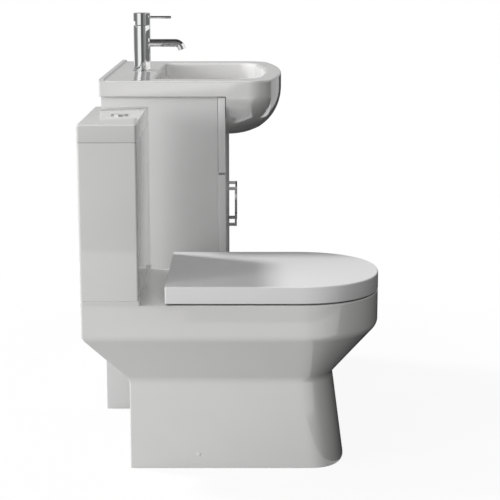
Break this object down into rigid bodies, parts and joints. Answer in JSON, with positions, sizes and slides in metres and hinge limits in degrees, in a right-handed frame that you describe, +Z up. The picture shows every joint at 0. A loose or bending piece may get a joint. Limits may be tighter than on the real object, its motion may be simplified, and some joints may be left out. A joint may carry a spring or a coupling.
{
  "type": "toilet and basin combination unit",
  "caption": "Close-coupled toilet with a shrouded pan beside a vanity cabinet with a semi-recessed basin, mixer tap and hinged doors.",
  "frame": {"origin": "on the floor, at the middle of the unit's width and depth", "axes": "+X along the width from the toilet to the basin, +Y towards the wall, -Y towards the user, +Z up"},
  "size_m": [1.158, 0.675, 1.008],
  "materials": {
    "white_ceramic": "glossy white glaze",
    "seat_white": "satin white moulded thermoset",
    "painted_board": "gloss white foil over board",
    "polished_chrome": "polished chrome plate",
    "plated_steel": "zinc plated steel",
    "braided_steel": "braided stainless steel",
    "white_plastic": "moulded white plastic",
    "rubber_grey": "soft rubber"
  },
  "bodies": {
    "unit": {"toilet_pan": "white_ceramic", "pan_floor_brackets": "white_plastic", "pan_side_screws": "plated_steel", "pan_side_caps": "white_plastic", "cistern_tank": "white_ceramic", "cistern_lid": "white_ceramic", "coupling_washer": "rubber_grey", "coupling_bolts": "plated_steel", "coupling_nuts": "plated_steel", "flush_bezel": "polished_chrome", "flush_valve_cage": "white_plastic", "flush_valve_backnut": "white_plastic", "fill_valve": "white_plastic", "fill_valve_backnut": "white_plastic", "seat_hinge_posts": "polished_chrome", "seat_hinge_pins": "plated_steel", "basin": "white_ceramic", "overflow_ring": "polished_chrome", "basin_waste": "polished_chrome", "waste_washer": "rubber_grey", "waste_nut": "polished_chrome", "bottle_trap": "polished_chrome", "trap_cup": "polished_chrome", "trap_outlet_pipe": "polished_chrome", "tap_body": "polished_chrome", "tap_base_ring": "polished_chrome", "tap_aerator": "polished_chrome", "tap_fixing_stud": "plated_steel", "tap_fixing_nut": "plated_steel", "tap_hoses": "braided_steel", "cabinet_side_left": "painted_board", "cabinet_side_right": "painted_board", "cabinet_base": "painted_board", "cabinet_back_rails": "painted_board", "cabinet_front_rail": "painted_board", "cabinet_plinth": "painted_board", "cabinet_shelf": "painted_board", "shelf_pins": "plated_steel", "cabinet_fascia": "painted_board", "cabinet_wall_brackets": "plated_steel", "door_pivots": "plated_steel"},
    "half_button": {"flush_button_half": "polished_chrome", "flush_rod_half": "white_plastic"},
    "full_button": {"flush_button_full": "polished_chrome", "flush_rod_full": "white_plastic"},
    "flush_riser": {"flush_valve_riser": "white_plastic", "flush_valve_seal": "rubber_grey"},
    "fill_float": {"fill_valve_float": "white_plastic"},
    "ring": {"seat_ring": "seat_white", "seat_ring_bumpers": "rubber_grey"},
    "lid": {"seat_lid": "seat_white", "seat_lid_bumpers": "rubber_grey"},
    "plug": {"waste_plug": "polished_chrome"},
    "tap_swivel": {"tap_cartridge": "plated_steel"},
    "tap_handle": {"tap_head": "polished_chrome", "tap_lever": "polished_chrome"},
    "left_door": {"door_left": "painted_board", "door_handle_left": "polished_chrome"},
    "right_door": {"door_right": "painted_board", "door_handle_right": "polished_chrome"}
  },
  "joints": [
    {"name": "half_flush_press", "type": "slide", "parent": "unit", "child": "half_button", "axis": [0, 0, -1], "range_m": [0, 0.006], "stiffness_N_per_m": 400, "springref_m": -0.002},
    {"name": "full_flush_press", "type": "slide", "parent": "unit", "child": "full_button", "axis": [0, 0, -1], "range_m": [0, 0.006], "stiffness_N_per_m": 400, "springref_m": -0.002},
    {"name": "flush_valve_lift", "type": "slide", "parent": "unit", "child": "flush_riser", "axis": [0, 0, 1], "range_m": [0, 0.012]},
    {"name": "float_rise", "type": "slide", "parent": "unit", "child": "fill_float", "axis": [0, 0, 1], "range_m": [-0.13, 0]},
    {"name": "seat_ring_hinge", "type": "hinge", "parent": "unit", "child": "ring", "pos_m": [-0.388, 0.1415, 0.417], "axis": [-1, 0, 0], "range_deg": [0, 95]},
    {"name": "seat_lid_hinge", "type": "hinge", "parent": "ring", "child": "lid", "pos_m": [-0.388, 0.1415, 0.417], "axis": [1, 0, 0], "range_deg": [-95, 0]},
    {"name": "waste_plug_slide", "type": "slide", "parent": "unit", "child": "plug", "axis": [0, 0, 1], "range_m": [0, 0.008]},
    {"name": "tap_temperature_turn", "type": "hinge", "parent": "unit", "child": "tap_swivel", "pos_m": [0.239, 0.253, 0.97], "axis": [0, 0, 1], "range_deg": [-45, 45]},
    {"name": "tap_lever_lift", "type": "hinge", "parent": "tap_swivel", "child": "tap_handle", "pos_m": [0.239, 0.265, 0.984], "axis": [-1, 0, 0], "range_deg": [0, 15]},
    {"name": "left_door_hinge", "type": "hinge", "parent": "unit", "child": "left_door", "pos_m": [-0.083, 0.0275, 0.35], "axis": [0, 0, -1], "range_deg": [0, 100]},
    {"name": "right_door_hinge", "type": "hinge", "parent": "unit", "child": "right_door", "pos_m": [0.561, 0.0275, 0.35], "axis": [0, 0, 1], "range_deg": [0, 100]}
  ],
  "couplings": [
    {"joint": "flush_valve_lift", "follows": "full_flush_press", "ratio": 2}
  ]
}
